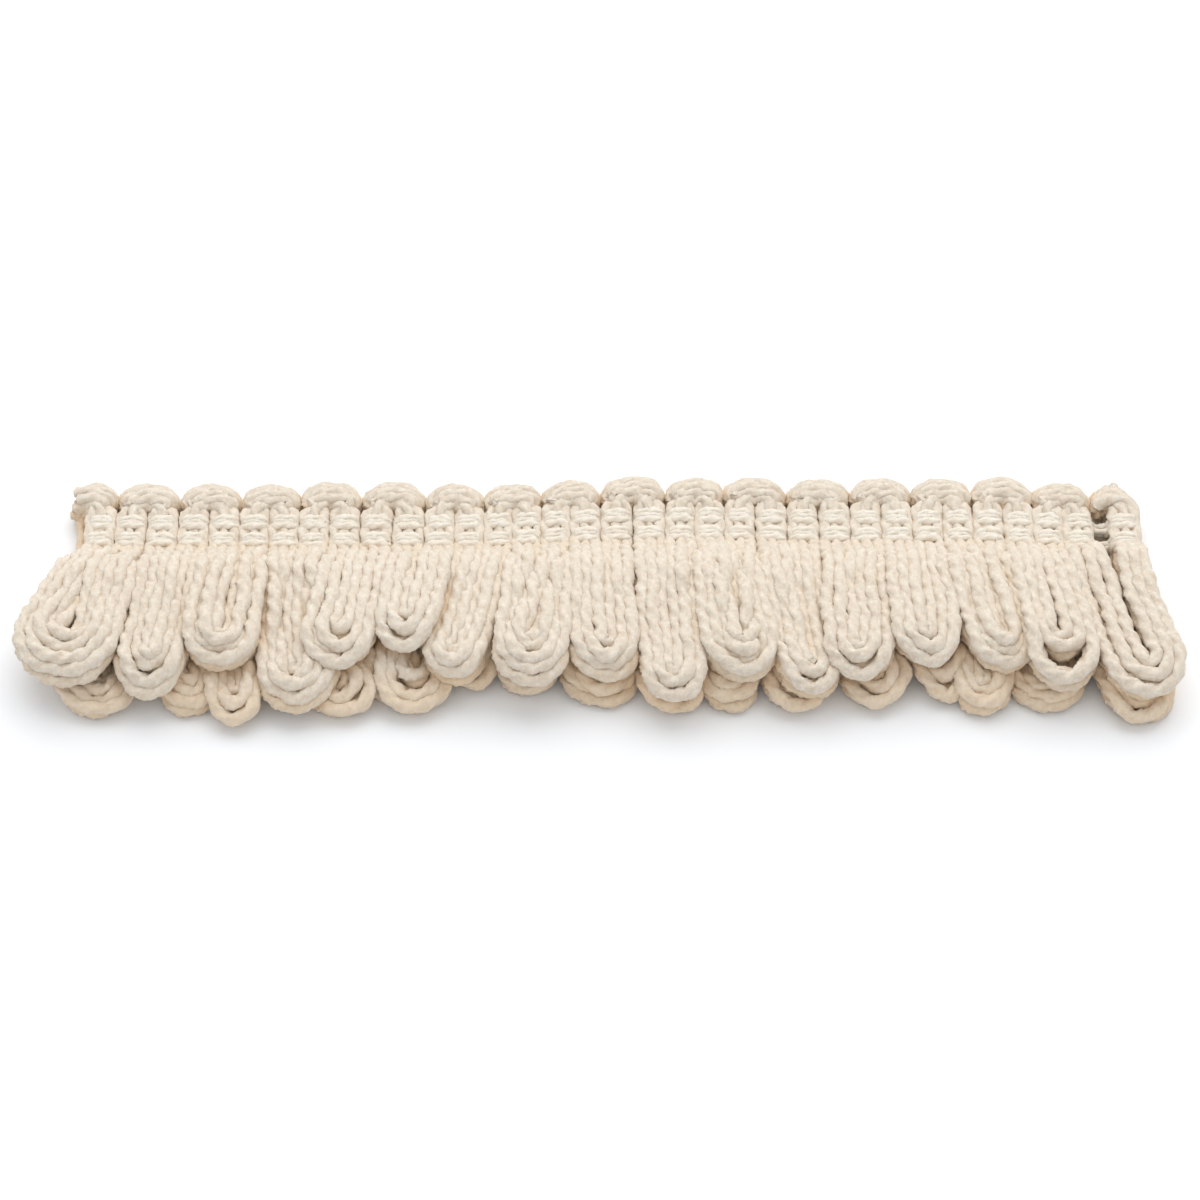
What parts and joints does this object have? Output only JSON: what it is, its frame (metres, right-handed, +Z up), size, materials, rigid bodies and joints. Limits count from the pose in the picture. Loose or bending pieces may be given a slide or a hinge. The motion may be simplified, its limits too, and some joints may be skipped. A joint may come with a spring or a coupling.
{
  "type": "loop fringe trim",
  "caption": "Cut length of loop fringe: a narrow scalloped heading held by chain stitches, with two layers of thick yarn loops along one edge.",
  "frame": {"origin": "on the surface that the trim lies on, under the middle of its bounding box", "axes": "+X along the trim, +Y across it from the loops to the scallops, +Z up off the surface, through its thickness"},
  "size_m": [0.1274, 0.0342, 0.0086],
  "materials": {
    "bundle_yarn": "soft matt cream cotton yarn",
    "stitch_yarn": "soft matt cream cotton yarn"
  },
  "bodies": {
    "root": {"heading": "bundle_yarn", "chain_row_front": "stitch_yarn", "chain_row_back": "stitch_yarn", "lower_loops": "bundle_yarn", "upper_loops": "bundle_yarn"}
  },
  "joints": []
}
